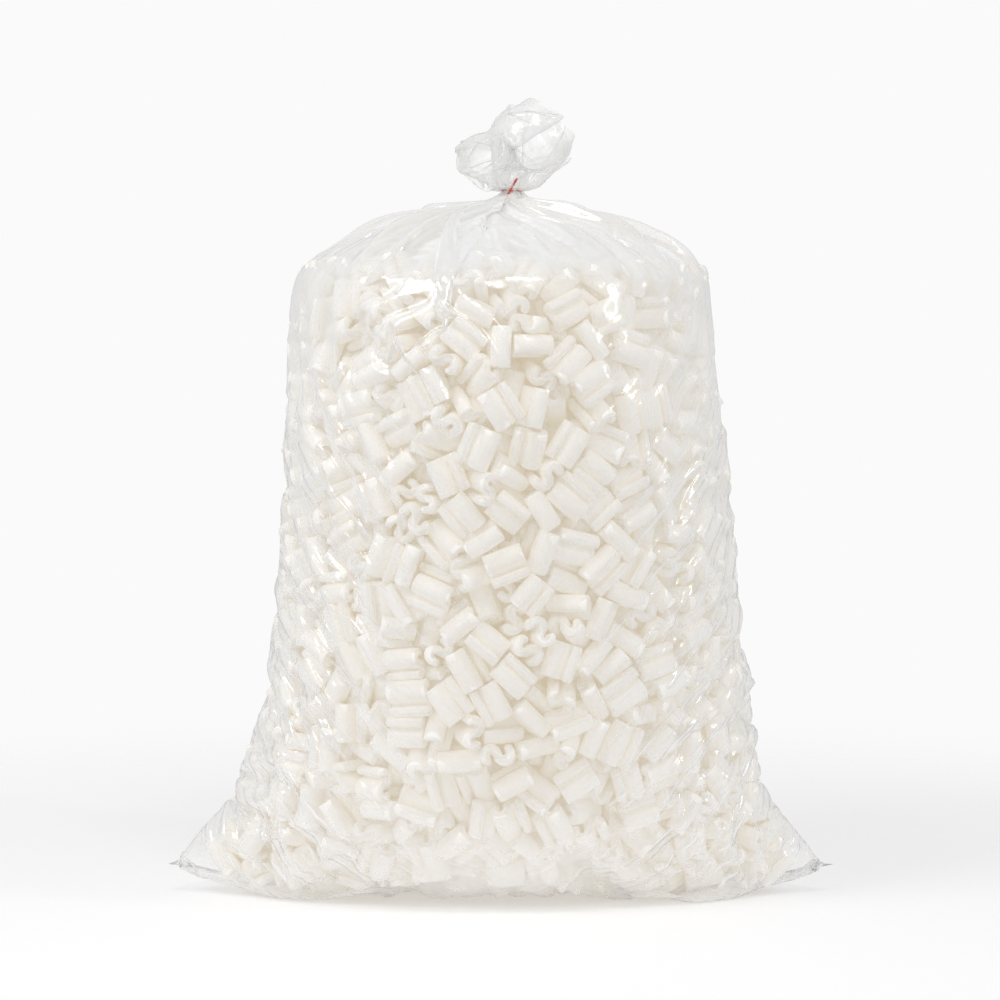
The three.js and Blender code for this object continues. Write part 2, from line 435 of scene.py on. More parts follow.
def close_pairs(c: Array, reach: float) -> tuple[Array, Array]:
    """Finds pairs of points nearer than reach, by sorting them into cells.

    Args:
        c: Points.
        reach: Largest distance of a pair.

    Returns:
        Two arrays of indices.
    """
    cell = np.floor((c - c.min(axis=0)) / reach).astype(np.int64) + 1
    size = cell.max(axis=0) + 2
    key = (cell[:, 0] * size[1] + cell[:, 1]) * size[2] + cell[:, 2]
    order = np.argsort(key, kind="stable")
    ordered = key[order]
    found = []
    half = [o for o in np.ndindex(3, 3, 3) if o > (1, 1, 1)]
    for offset in [(1, 1, 1), *half]:
        shift = ((offset[0] - 1) * size[1] + offset[1] - 1) * size[2] + offset[2] - 1
        low = np.searchsorted(ordered, ordered + shift, "left")
        high = np.searchsorted(ordered, ordered + shift, "right")
        if offset == (1, 1, 1):
            low = np.arange(len(c)) + 1
        count = np.maximum(high - low, 0)
        first = np.repeat(np.arange(len(c)), count)
        within = np.arange(count.sum()) - np.repeat(np.cumsum(count) - count, count)
        second = np.repeat(low, count) + within
        found.append(np.stack([order[first], order[second]]))
    i, j = np.concatenate(found, axis=1)
    near = np.einsum("ij,ij->i", c[i] - c[j], c[i] - c[j]) < reach * reach
    return i[near], j[near]


@dataclass
class Pushes:
    """What the contacts of one round of packing add up to for each peanut."""

    count: int
    move: Array = field(init=False)
    spin: Array = field(init=False)
    share: Array = field(init=False)

    def __post_init__(self) -> None:
        """Starts from nothing, with one share each so that no peanut has none."""
        self.move = np.zeros((self.count, 3))
        self.spin = np.zeros((self.count, 3))
        self.share = np.full(self.count, 1.0)

    def add(self, body: Array, push: Array, way: Array, torque: Array) -> None:
        """Adds contacts, each to its own peanut.

        Args:
            body: Which peanut each contact pushes.
            push: How far it pushes.
            way: Unit vector of the push.
            torque: How the push turns the peanut.
        """
        self.share += np.bincount(body, minlength=self.count)
        for axis in range(3):
            self.move[:, axis] += np.bincount(body, push * way[:, axis], self.count)
            self.spin[:, axis] += np.bincount(body, push * torque[:, axis], self.count)


@dataclass
class PeanutHeap:
    """The peanuts, packed into the bag as rigid bodies.

    Each peanut is two rows of three balls, one row for each lobe of its S. Balls that overlap
    push their peanuts apart and turn them, and the bag's form pushes them back inside. The balls
    grow to their full size over the first half of the packing.
    """

    form: BagForm
    count: int
    seed: int = SEED
    ball: float = 0.0098
    ball_pitch: float = 0.0092
    row_offset: float = 0.0057
    wall_gap: float = 0.0012
    gyration: float = 0.013
    low: tuple[float, float, float] = (-0.31, -0.21, 0.012)
    high: tuple[float, float, float] = (0.31, 0.21, 0.64)
    start_depth: float = 0.009
    place: Array = field(init=False)
    turn: Array = field(init=False)
    scale: Array = field(init=False)

    def __post_init__(self) -> None:
        """Spreads the peanuts out, turned at random and a little unequal in size."""
        rng = np.random.default_rng(self.seed)
        self.place = self._start(rng)
        self.count = len(self.place)
        self.turn = unit(rng.normal(size=(self.count, 4)))
        self.scale = rng.uniform(0.93, 1.06, self.count)

    def _start(self, rng: np.random.Generator) -> Array:
        """Spreads the peanuts evenly through the form, with a little disorder.

        Args:
            rng: Source of the disorder.

        Returns:
            The middles of the peanuts.
        """
        low, high = np.array(self.low), np.array(self.high)
        trial = rng.uniform(low, high, (200000, 3))
        deep = self.form.outside_fill(trial) < -self.start_depth
        inside = deep.mean() * np.prod(high - low)
        pitch = (inside / self.count) ** (1.0 / 3.0)
        axes = [np.arange(a, b, pitch) for a, b in zip(low, high)]
        grid = np.stack(np.meshgrid(*axes, indexing="ij"), -1).reshape(-1, 3)
        grid += rng.uniform(-0.35, 0.35, grid.shape) * pitch
        return grid[self.form.outside_fill(grid) < -self.start_depth]

    def balls(self) -> tuple[Array, Array]:
        """Where the balls are.

        Returns:
            Their arms from their peanut's middle, and their middles.
        """
        along = (-self.ball_pitch, 0.0, self.ball_pitch)
        across = (-self.row_offset, self.row_offset)
        local = np.array([(x, y, 0.0) for x in along for y in across])
        arms = np.einsum("nij,kj->nki", turn_matrices(self.turn), local)
        arms = arms * self.scale[:, None, None]
        return arms, self.place[:, None] + arms

    def settle(self, rounds: int) -> None:
        """Packs the peanuts.

        Args:
            rounds: Number of rounds of pushing.
        """
        pairs, overlap = (np.zeros(0, int), np.zeros(0, int)), 0.0
        for step in range(rounds):
            grown = min(1.0, 0.72 + 0.28 * step / (0.55 * rounds))
            radius = self.ball * grown
            arms, middles = (a.reshape(-1, 3) for a in self.balls())
            if step % 6 == 0:
                pairs = close_pairs(middles, 2.0 * radius + 0.004)
                apart = pairs[0] // BALLS != pairs[1] // BALLS
                pairs = (pairs[0][apart], pairs[1][apart])
            pushes = Pushes(self.count)
            overlap = self._part(pushes, pairs, arms, middles, radius)
            self._keep_in(pushes, arms, middles, radius)
            ease = (1.9 / np.sqrt(pushes.share))[:, None]
            self.place += ease * pushes.move
            self._spin(ease * pushes.spin / self.gyration**2)
        LOG.info("peanuts: %d, mean overlap %.2f mm", self.count, 1000.0 * overlap)

    def _part(
        self,
        pushes: Pushes,
        pairs: tuple[Array, Array],
        arms: Array,
        middles: Array,
        radius: float,
    ) -> float:
        """Pushes overlapping balls apart, along the line between their middles.

        Args:
            pushes: Where the pushes are added up.
            pairs: Balls that may touch.
            arms: The balls' places from their peanut's middle.
            middles: The balls' middles.
            radius: The balls' radius.

        Returns:
            The mean overlap.
        """
        i, j = pairs
        gap = middles[i] - middles[j]
        size = np.linalg.norm(gap, axis=1)
        deep = 2.0 * radius - size
        hit = deep > 0
        i, j, deep = i[hit], j[hit], deep[hit]
        n = gap[hit] / np.maximum(size[hit], 1e-9)[:, None]
        ti, tj = np.cross(arms[i], n), np.cross(arms[j], n)
        turned = np.einsum("ij,ij->i", ti, ti) + np.einsum("ij,ij->i", tj, tj)
        push = deep / (2.0 + turned / self.gyration**2)
        pushes.add(i // BALLS, push, n, ti)
        pushes.add(j // BALLS, -push, n, tj)
        return float(deep.mean()) if len(deep) else 0.0

    def _keep_in(self, pushes: Pushes, arms: Array, middles: Array, radius: float) -> None:
        """Pushes balls that reach out of the peanuts' room back in.

        Args:
            pushes: Where the pushes are added up.
            arms: The balls' places from their peanut's middle.
            middles: The balls' middles.
            radius: The balls' radius.
        """
        out = self.form.outside_fill(middles) + radius + self.wall_gap
        hit = np.nonzero(out > 0)[0]
        n = -self.form.push(middles[hit])
        torque = np.cross(arms[hit], n)
        turned = np.einsum("ij,ij->i", torque, torque)
        push = out[hit] / (1.0 + turned / self.gyration**2)
        pushes.add(hit // BALLS, 2.0 * push, n, torque)

    def _spin(self, angle: Array) -> None:
        """Turns the peanuts a little.

        Args:
            angle: Small turn vectors.
        """
        w, v = self.turn[:, :1], self.turn[:, 1:]
        half = 0.5 * angle
        dw = -np.einsum("ij,ij->i", half, v)[:, None]
        dv = w * half + np.cross(half, v)
        self.turn = unit(self.turn + np.concatenate([dw, dv], axis=1))


# ---- The film -----------------------------------------------------------------------------


@dataclass
class FillField:
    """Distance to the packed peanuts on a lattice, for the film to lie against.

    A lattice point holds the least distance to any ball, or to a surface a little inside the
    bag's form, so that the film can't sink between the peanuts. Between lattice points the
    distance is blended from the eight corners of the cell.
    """

    form: BagForm
    heap: PeanutHeap
    skin: float
    pitch: float = 0.005
    low: tuple[float, float, float] = (-0.345, -0.245, -0.02)
    shape: tuple[int, int, int] = (139, 99, 139)
    sink: float = 0.028
    reach: int = 4
    distance: Array = field(init=False)

    def __post_init__(self) -> None:
        """Fills the lattice."""
        axes = [low + self.pitch * np.arange(n) for low, n in zip(self.low, self.shape)]
        lattice = np.stack(np.meshgrid(*axes, indexing="ij"), -1)
        self.distance = self.form.outside_fill(lattice).astype(np.float32) + self.sink
        _, middles = self.heap.balls()
        radii = np.repeat(self.heap.ball * self.heap.scale, middles.shape[1]) + self.skin
        middles = middles.reshape(-1, 3)
        near = self.form.outside(middles) > -0.03
        self._splat(middles[near], radii[near])

    def _splat(self, middles: Array, radii: Array) -> None:
        """Lowers the lattice's distances round each ball.

        Args:
            middles: Middles of the balls.
            radii: Their radii.
        """
        window = np.arange(-self.reach, self.reach + 1)
        offsets = np.stack(np.meshgrid(window, window, window, indexing="ij"), -1).reshape(-1, 3)
        offsets = offsets[np.linalg.norm(offsets, axis=1) <= self.reach + 0.5]
        low = np.array(self.low)
        cell = np.rint((middles - low) / self.pitch).astype(np.int64)
        flat = self.distance.reshape(-1)
        step = np.array([self.shape[1] * self.shape[2], self.shape[2], 1])
        for offset in offsets:
            node = cell + offset
            d = np.linalg.norm(low + self.pitch * node - middles, axis=1) - radii
            good = np.all((node >= 0) & (node < self.shape), axis=1)
            np.minimum.at(flat, node[good] @ step, d[good].astype(np.float32))

    def sample(self, p: Array) -> tuple[Array, Array]:
        """Distance and the way out, between lattice points.

        Args:
            p: Points.

        Returns:
            One distance for each point, and one unit vector.
        """
        q = (p - np.array(self.low, dtype=np.float32)) / np.float32(self.pitch)
        top = np.array(self.shape) - 2
        base = np.clip(np.floor(q).astype(np.int32), 0, top)
        f = np.clip(q - base, 0.0, 1.0).astype(np.float32)
        flat = self.distance.reshape(-1)
        ny, nz = self.shape[1], self.shape[2]
        at = (base[..., 0] * ny + base[..., 1]) * nz + base[..., 2]
        v = [
            [[flat[at + (i * ny + j) * nz + k] for k in (0, 1)] for j in (0, 1)] for i in (0, 1)
        ]
        fx, fy, fz = f[..., 0], f[..., 1], f[..., 2]
        z = [[v[i][j][0] + fz * (v[i][j][1] - v[i][j][0]) for j in (0, 1)] for i in (0, 1)]
        y = [z[i][0] + fy * (z[i][1] - z[i][0]) for i in (0, 1)]
        value = y[0] + fx * (y[1] - y[0])
        gx = y[1] - y[0]
        gy = (1 - fx) * (z[0][1] - z[0][0]) + fx * (z[1][1] - z[1][0])
        dz = [[v[i][j][1] - v[i][j][0] for j in (0, 1)] for i in (0, 1)]
        gz = (1 - fx) * ((1 - fy) * dz[0][0] + fy * dz[0][1])
        gz += fx * ((1 - fy) * dz[1][0] + fy * dz[1][1])
        return value, unit(np.stack([gx, gy, gz], -1))


# where a tuft of film is drawn out to the left of the neck
TUFT = (-0.0490, -0.0120, 0.6680)

# middles and half sizes of the lumps that the loose film above the tie is crumpled into
LUMPS = np.array(
    [
        (0.0100, 0.0000, 0.6840, 0.0360, 0.0260, 0.0150),
        (-0.0070, 0.0000, 0.7020, 0.0410, 0.0330, 0.0240),
        (0.0300, 0.0000, 0.7190, 0.0420, 0.0360, 0.0390),
        (-0.0450, 0.0000, 0.7240, 0.0080, 0.0090, 0.0150),
        (-0.0220, -0.0060, 0.6750, 0.0290, 0.0120, 0.0080),
        (*TUFT, 0.0120, 0.0120, 0.0115),
    ]
)


class Link(Enum):
    """The kinds of link between the film's points.

    Each has its rows and columns from start to end, and the shares of a short link's and of a
    long link's error that are put right in a round.
    """

    ACROSS = (0, 1, 1.0, 1.0)
    UP = (1, 0, 1.0, 1.0)
    RISE = (1, 1, 0.6, 0.6)
    FALL = (1, -1, 0.6, 0.6)
    ACROSS_TWO = (0, 2, 0.35, 0.2)
    UP_TWO = (2, 0, 0.35, 0.2)


@dataclass
class FilmCloth:
    """The bag's film as a grid of cloth: columns round the tube, rows from the seal to the mouth.

    The grid keeps the flat film's lengths, so the slack that the form doesn't need buckles into
    folds, as the real film's does.
    """

    form: BagForm
    seed: int = SEED
    girth: float = 1.317
    body_share: float = 0.85
    neck: tuple[float, float, float] = (0.010, 0.0, 0.670)
    neck_radius: float = 0.0095
    crown_height: float = 0.098
    crown_spread: float = 1.25
    crown_crumple: float = 0.006
    body_slack: float = 1.30
    crown_slack: float = 2.35
    pleat_count: int = 36
    pleat_height: float = 0.018
    ear_height: float = 0.0275
    columns: int = field(init=False)
    rows: int = field(init=False)
    neck_row: int = field(init=False)
    points: Array = field(init=False)
    pleats: Array = field(init=False)
    flat_v: Array = field(init=False)
    rest: dict[Link, Array] = field(init=False)

    def build(self, columns: int, rows: int) -> None:
        """Lays the grid on the form, with the flat lengths that go with it.

        Args:
            columns: Number of columns.
            rows: Number of rows.
        """
        self.columns, self.rows = columns, rows
        self.neck_row = int(round(self.body_share * (rows - 1)))
        share = np.arange(columns) / columns
        path = self._column_paths(share)
        length = np.linalg.norm(np.diff(path, axis=0), axis=-1)
        reach = np.concatenate([np.zeros((1, columns)), np.cumsum(length, axis=0)])
        side = np.abs(np.cos(math.pi * share)) ** 8 + np.abs(np.sin(math.pi * share)) ** 8
        slack = 1.006 + 0.05 * side
        body = np.linspace(0.0, 1.0, self.neck_row + 1)
        laid = np.stack(
            [
                np.stack([np.interp(body * r[-1], r, path[:, i, k]) for k in range(3)], -1)
                for i, r in enumerate(reach.T)
            ],
            axis=1,
        )
        self.flat_v = np.concatenate(
            [
                body[:, None] * (reach[-1] * slack)[None],
                (reach[-1] * slack)[None]
                + np.linspace(0, 1, rows - self.neck_row)[1:, None] * self._crown_reach(share),
            ]
        )
        crown = self._crown(share, rows)
        self.points = np.concatenate([laid[:-1], crown]).astype(np.float32)
        self.pleats = self._pleats(share, body[:, None])
        self._measure()

    def _pleats(self, share: Array, body: Array) -> Array:
        """Heights of the gathered pleats that run from the neck over the shoulders.

        Each pleat is a sharp ridge or groove. It widens away from the neck and dies out at the
        height of its own.

        Args:
            share: Shares of the way round, one for each column.
            body: Shares of the way up to the neck, one for each row.

        Returns:
            Heights off the form, row by row.
        """
        rng = np.random.default_rng(self.seed + 5)
        count = self.pleat_count
        middle = (np.arange(count) + rng.uniform(-0.4, 0.4, count)) / count
        width = rng.uniform(0.006, 0.016, count)
        tall = rng.choice([-1.0, 1.0], count) * rng.uniform(0.3, 1.0, count)
        foot = rng.uniform(0.70, 0.82, count)
        slant = rng.normal(0.0, 0.06, count)
        at = (share[None, :, None] - middle - slant * (1.0 - body[..., None]) + 0.5) % 1.0 - 0.5
        ridge = np.clip(1.0 - np.abs(at) / width, 0.0, 1.0)
        fade = smoothstep(body[..., None], foot, foot + 0.12)
        taper = self.pleat_height * smoothstep(1.0 - body, 0.0, 0.10)
        return (taper * (tall * ridge * fade).sum(axis=-1)).astype(np.float32)

    def _column_paths(self, share: Array) -> Array:
        """Paths up the film from the seal under the bag to the neck.

        Args:
            share: Shares of the way round.

        Returns:
            Rows of points.
        """
        edge = self.form.section(np.array([0.0]), share)[0]
        under = np.linspace(0.0, 1.0, 26)[:-1, None, None] * np.array([0.0, 1.0, 0.0])
        under = edge * np.array([1.0, 0.0, 1.0]) + under * edge
        heights = np.concatenate([np.linspace(0.0, 0.6, 150), np.linspace(0.6, 0.668, 60)[1:]])
        wall = self.form.section(heights, share)
        return np.concatenate([under, wall])

    def _crown_reach(self, share: Array) -> Array:
        """Height of the loose film above the tie, column by column.

        Args:
            share: Shares of the way round.

        Returns:
            One height for each column.
        """
        wave = 0.12 * np.cos(TAU * share + 0.4) + 0.1 * np.cos(2 * TAU * share + 2.0)
        return self.crown_height * (1.0 + wave)

    def _crown(self, share: Array, rows: int) -> Array:
        """The loose film above the tie before it is crumpled: a fluted, leaning funnel.

        Args:
            share: Shares of the way round.
            rows: Number of rows of the whole grid.

        Returns:
            Rows of points, the first at the neck.
        """
        up = np.linspace(0.0, 1.0, rows - self.neck_row)[:, None]
        high = up * self._crown_reach(share)[None]
        angle = TAU * share[None] + math.pi
        flute = np.cos(9 * angle + 1.0) + 0.6 * np.cos(14 * angle + 2.0 + 3.0 * up)
        neck = self.neck_radius * (1.0 + 0.11 * np.cos(15 * angle) + 0.05 * np.cos(22 * angle))
        out = neck + self.crown_spread * high * (1.0 + 0.25 * flute * up)
        x = self.neck[0] + out * np.cos(angle) + 0.16 * high
        y = 0.75 * out * np.sin(angle)
        z = self.neck[2] + (0.72 + 0.14 * np.cos(angle)) * high + 0.012 * up * np.sin(7 * angle)
        left = np.exp(-((np.abs((share + 0.5) % 1.0 - 0.5) / 0.045) ** 2))[None]
        bulge = left * np.exp(-(((up - 0.70) / 0.26) ** 2))
        x = x + bulge * (TUFT[0] - x)
        y = y + bulge * (TUFT[1] - y)
        z = z + bulge * (TUFT[2] - z)
        return np.stack([x, y, z], -1)

    def _measure(self) -> None:
        """Works out the flat lengths of every kind of link in the grid.

        A row's flat length round the tube is the girth, or near the neck the length round a
        circle as large as the row's distance from the neck, times its slack, if that is less.
        """
        rows, n = self.rows, self.columns
        above = self.flat_v - self.flat_v[self.neck_row]
        mean = np.abs(above.mean(axis=1))
        slack = np.where(np.arange(rows) < self.neck_row, self.body_slack, self.crown_slack)
        around = np.minimum(self.girth, TAU * (self.neck_radius + mean) * slack)
        du = (around / n)[:, None]
        v = self.flat_v
        right = np.roll(v, -1, axis=1)
        rest = {
            Link.ACROSS: np.hypot(du, right - v),
            Link.UP: v[1:] - v[:-1],
            Link.RISE: np.hypot(0.5 * (du[1:] + du[:-1]), right[1:] - v[:-1]),
            Link.FALL: np.hypot(0.5 * (du[1:] + du[:-1]), v[1:] - right[:-1]),
            Link.ACROSS_TWO: np.hypot(2 * du, np.roll(v, -2, axis=1) - v),
            Link.UP_TWO: v[2:] - v[:-2],
        }
        self.rest = {link: lengths.astype(np.float32) for link, lengths in rest.items()}

    def refine(self, finer: "FilmCloth") -> None:
        """Hands this grid's shape to a finer grid.

        Args:
            finer: The finer grid, already built.
        """
        p = self.points.astype(np.float64)
        wrapped = np.concatenate([p, p[:, :1]], axis=1)
        u = np.arange(finer.columns) / finer.columns * self.columns
        i = np.floor(u).astype(int)
        f = (u - i)[None, :, None]
        wide = wrapped[:, i] * (1 - f) + wrapped[:, np.minimum(i + 1, self.columns)] * f
        body = np.linspace(0, self.neck_row, finer.neck_row + 1)
        crown = np.linspace(self.neck_row, self.rows - 1, finer.rows - finer.neck_row)[1:]
        v = np.concatenate([body, crown])
        j = np.minimum(np.floor(v).astype(int), self.rows - 2)
        g = (v - j)[:, None, None]
        finer.points = (wide[j] * (1 - g) + wide[j + 1] * g).astype(np.float32)

    def drape(self, fill: FillField, rounds: int, noise: float, crumpled: bool) -> None:
        """Lets the film settle on the peanuts.

        In each round the points keep part of their last move, the links go back towards their
        flat lengths, and every other round the film is pushed off the peanuts.

        Args:
            fill: Where the peanuts are.
            rounds: Number of rounds.
            noise: Size of the first disorder, which the folds grow from.
            crumpled: Whether the loose film above the tie is crumpled up first.
        """
        rng = np.random.default_rng(self.seed + self.columns)
        p = self.points
        p += noise * rng.normal(size=p.shape).astype(np.float32)
        if crumpled:
            loose = p[self.neck_row + 2 :]
            loose += self.crown_crumple * rng.normal(size=loose.shape)
        ring = self._crown(np.arange(self.columns) / self.columns, self.rows)[0]
        ring = ring.astype(np.float32)
        before = p.copy()
        for step in range(rounds):
            ease = 0.9 if step < 0.8 * rounds else 0.5
            drift = ease * (p - before)
            before = p.copy()
            p += np.clip(drift, -0.003, 0.003)
            self._links(p)
            if step % 2 == 1:
                self._collide(p, fill)
                self._gather(p[self.neck_row + 1 :])
            p[self.neck_row] = ring
            self._seal(p)
        self._collide(p, fill)
        self.points = p

    @staticmethod
    def _gather(crown: Array) -> None:
        """Crumples the loose film above the tie into its lumps.

        Args:
            crown: The points above the tie, changed in place.
        """
        middle = LUMPS[:, None, None, :3].astype(np.float32)
        half = LUMPS[:, None, None, 3:].astype(np.float32)
        q = (crown[None] - middle) / half
        level = np.linalg.norm(q, axis=-1)
        nearest = level.argmin(axis=0)
        low = np.take_along_axis(level, nearest[None], axis=0)[0]
        q = np.take_along_axis(q, nearest[None, ..., None], axis=0)[0]
        excess = np.where(low > 1.0, 1.0 - 1.0 / np.maximum(low, 1e-6), 0.0)
        crown += 0.00006 * np.where(low < 0.9, 1.0, 0.0)[..., None] * unit(q)
        crown -= 0.40 * excess[..., None] * q * half[nearest, 0, 0]

    def _collide(self, p: Array, fill: FillField) -> None:
        """Keeps the film outside the peanuts and over the floor, and draws it in to them.

        The draw is strong on the body and nil in the two empty corners. Between the shoulders
        and the neck the trapped air holds the film near the bag's form instead.

        Args:
            p: The grid's points, changed in place.
            fill: Where the peanuts are.
        """
        body = p[: self.neck_row]
        distance, way = fill.sample(body)
        row = np.linspace(0.0, 1.0, self.neck_row)[:, None]
        tight = 1.0 - smoothstep(row, 0.64, 0.75)
        tight = tight * (1.0 - smoothstep(np.abs(body[..., 0]), 0.235, 0.270))
        tight = tight * smoothstep(body[..., 2], 0.004, 0.030)
        shift = np.where(
            distance < 0,
            np.minimum(-distance, 0.004),
            -0.004 * tight * np.clip(distance - 0.001, 0.0, 0.03),
        )
        body += shift[..., None].astype(np.float32) * way
        shoulder, foot = int(0.72 * self.neck_row), int(0.30 * self.neck_row)
        for part in (slice(shoulder, self.neck_row), slice(1, foot)):
            film = p[part]
            if part.start == 1:
                hold = smoothstep(np.abs(film[..., 0]), 0.235, 0.270)
            else:
                hold = smoothstep(row[part], 0.72, 0.80)
            gap = self.form.outside(film) - self.pleats[part]
            pull = hold * np.where(gap > 0.0, 0.25, 0.03) * np.clip(gap, -0.03, 0.03)
            film -= (pull[..., None] * self.form.slope(film)).astype(np.float32)
        p[..., 2] = np.maximum(p[..., 2], 0.0005)
        half = self.columns // 2
        for column, x in ((0, -self.form.ear_tip), (half, self.form.ear_tip)):
            p[0, column] = (x, 0.0, self.ear_height)

    def _seal(self, p: Array) -> None:
        """Welds the front's and the back's bottom edges into one line.

        Args:
            p: The grid's points, changed in place.
        """
        i = np.arange(self.columns)
        mirror = (-i) % self.columns
        p[0] = 0.5 * (p[0] + p[0][mirror])

    def _links(self, p: Array) -> None:
        """Brings each link back towards its flat length, kind by kind.

        Args:
            p: The grid's points, changed in place.
        """
        for link in Link:
            self._ease(p, link)

    def _ease(self, p: Array, link: Link) -> None:
        """Eases one kind of link, in groups whose links share no point.

        Args:
            p: The grid's points, changed in place.
            link: The kind of link.
        """
        rows, columns, push, pull = link.value
        rest = self.rest[link]
        if rows == 0:
            blocks = np.arange(self.columns).reshape(-1, 2 * columns)
            for starts in (blocks[:, :columns].ravel(), blocks[:, columns:].ravel()):
                ends = (starts + columns) % self.columns
                a, b = p[:, starts], p[:, ends]
                c = self._shift(a, b, rest[:, starts], push, pull)
                p[:, starts] = a + c
                p[:, ends] = b - c
            return
        count = len(rest)
        for first in range(2 * rows):
            starts = np.arange(first, count, 2 * rows)
            a = p[starts]
            b = np.roll(p[starts + rows], -columns, axis=1) if columns else p[starts + rows]
            r = np.roll(rest[starts], 1, axis=1) if columns < 0 else rest[starts]
            c = self._shift(a, b, r, push, pull)
            p[starts] = a + c
            p[starts + rows] -= np.roll(c, columns, axis=1) if columns else c

    @staticmethod
    def _shift(a: Array, b: Array, rest: Array, push: float, pull: float) -> Array:
        """Half of what puts a group of links right.

        Args:
            a: The links' starts.
            b: The links' ends.
            rest: Flat lengths.
            push: How much of a short link is put right.
            pull: How much of a long link is put right.

        Returns:
            How far each start moves; its end moves the other way.
        """
        gap = b - a
        size = np.sqrt(np.einsum("ijk,ijk->ij", gap, gap)) + 1e-9
        error = size - rest
        share = np.where(error > 0, pull, push).astype(np.float32)
        return gap * (0.5 * share * error / size)[..., None]


@dataclass
class FilmBag:
    """The clear film bag: one sheet, sealed across the bottom and gathered at the neck."""

    form: BagForm
    heap: PeanutHeap
    columns: int = 352
    rows: int = 272
    skin: float = 0.0015
    disorder: float = 0.00015

    def grid(self) -> FilmCloth:
        """Drapes the film from a coarse grid to the finest.

        Returns:
            The settled cloth.
        """
        fill = FillField(self.form, self.heap, self.skin)
        stages = [(4, 300), (2, 200), (1, 100)]
        cloth = None
        for share, rounds in stages:
            finer = FilmCloth(self.form)
            finer.build(self.columns // share, (self.rows - 1) // share + 1)
            if cloth is not None:
                cloth.refine(finer)
            finer.drape(fill, rounds, self.disorder * share, crumpled=cloth is None)
            cloth = finer
        return cloth

    @staticmethod
    def _creases(share: Array, v: Array) -> Array:
        """Milky lines where the gathered film is creased, running out from the neck.

        Straight lines join random heights round the film, and a crease lies wherever they
        cross the middle height.

        Args:
            share: Shares of the way round.
            v: Shares of the way up to the neck.

        Returns:
            How milky the creases are.
        """
        rng = np.random.default_rng(SEED + 9)
        total = np.zeros_like(share)
        for knots, lean, strength in ((54, 0.05, 0.30), (110, -0.04, 0.22), (200, 0.02, 0.14)):
            heights = rng.uniform(0.0, 1.0, knots)
            at = ((share + lean * (1.0 - v)) % 1.0) * knots
            level = np.interp(at, np.arange(knots + 1), np.append(heights, heights[0]))
            total += strength * (1.0 - np.abs(2.0 * level - 1.0)) ** 5
        return total

    def build(self) -> bpy.types.Object:
        """Makes the film's mesh: the grid's cells, with the seal's two edges welded.

        Returns:
            The bag's film.
        """
        cloth = self.grid()
        rows, n = cloth.rows, cloth.columns
        ident = np.arange(rows * n).reshape(rows, n)
        i = np.arange(n)
        ident[0] = np.minimum(i, (-i) % n)
        right = np.roll(ident, -1, axis=1)
        quads = np.stack([ident[:-1], right[:-1], right[1:], ident[1:]], -1).reshape(-1, 4)
        used, faces = np.unique(quads, return_inverse=True)
        points = cloth.points.reshape(-1, 3)[used]
        film = new_mesh_object("bag_film", points, [faces.reshape(-1, 4)])
        share = np.broadcast_to(np.arange(n) / n, (rows, n)).reshape(-1)[used]
        self._mark(film, points, cloth, share, used)
        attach(film, "root")
        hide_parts("film_bag")
        film.data.materials.append(ClearFilm().material())
        return film

    def _mark(
        self, film: bpy.types.Object, points: Array, cloth: FilmCloth, share: Array, used: Array
    ) -> None:
        """Stores what the film's finish follows: creases, which also place the painted glints,
        haze and the place on the flat film.

        The sides and the middle heights are the most creased. The gathered shoulders are
        milkier than the body, and the loose film above the tie is clearer.

        Args:
            film: The film's object.
            points: Its vertices.
            cloth: The cloth that they come from.
            share: Shares of the way round, one for each vertex.
            used: Which of the cloth's points each vertex is.
        """
        v = (cloth.flat_v / cloth.flat_v[cloth.neck_row]).reshape(-1)[used]
        low = 0.1 + 0.9 * smoothstep(v, 0.02, 0.10) * (1.0 - smoothstep(v, 0.45, 0.75))
        side = smoothstep(np.abs(points[:, 0]), 0.05, 0.16)
        add_attribute(film, "crease", np.where(v < 1.0, low * (0.15 + 0.85 * side), 0.1))
        cone = smoothstep(v, 0.70, 0.80) * (1.0 - smoothstep(v, 0.97, 1.0))
        milky = 0.17 * smoothstep(v, 0.70, 0.80) - 0.23 * smoothstep(v, 0.98, 1.01)
        add_attribute(film, "haze", milky + cone * self._creases(share, v))
        lap = np.minimum(share % 0.5, 0.5 - share % 0.5)
        flat = np.stack([cloth.girth * lap, cloth.flat_v.reshape(-1)[used], share > 0.5], -1)
        layer = film.data.attributes.new("flat", "FLOAT_VECTOR", "POINT")
        layer.data.foreach_set("vector", flat.astype(np.float32).ravel())


LAYERS = ("peanuts_bottom", "peanuts_lower", "peanuts_middle", "peanuts_upper", "peanuts_top")


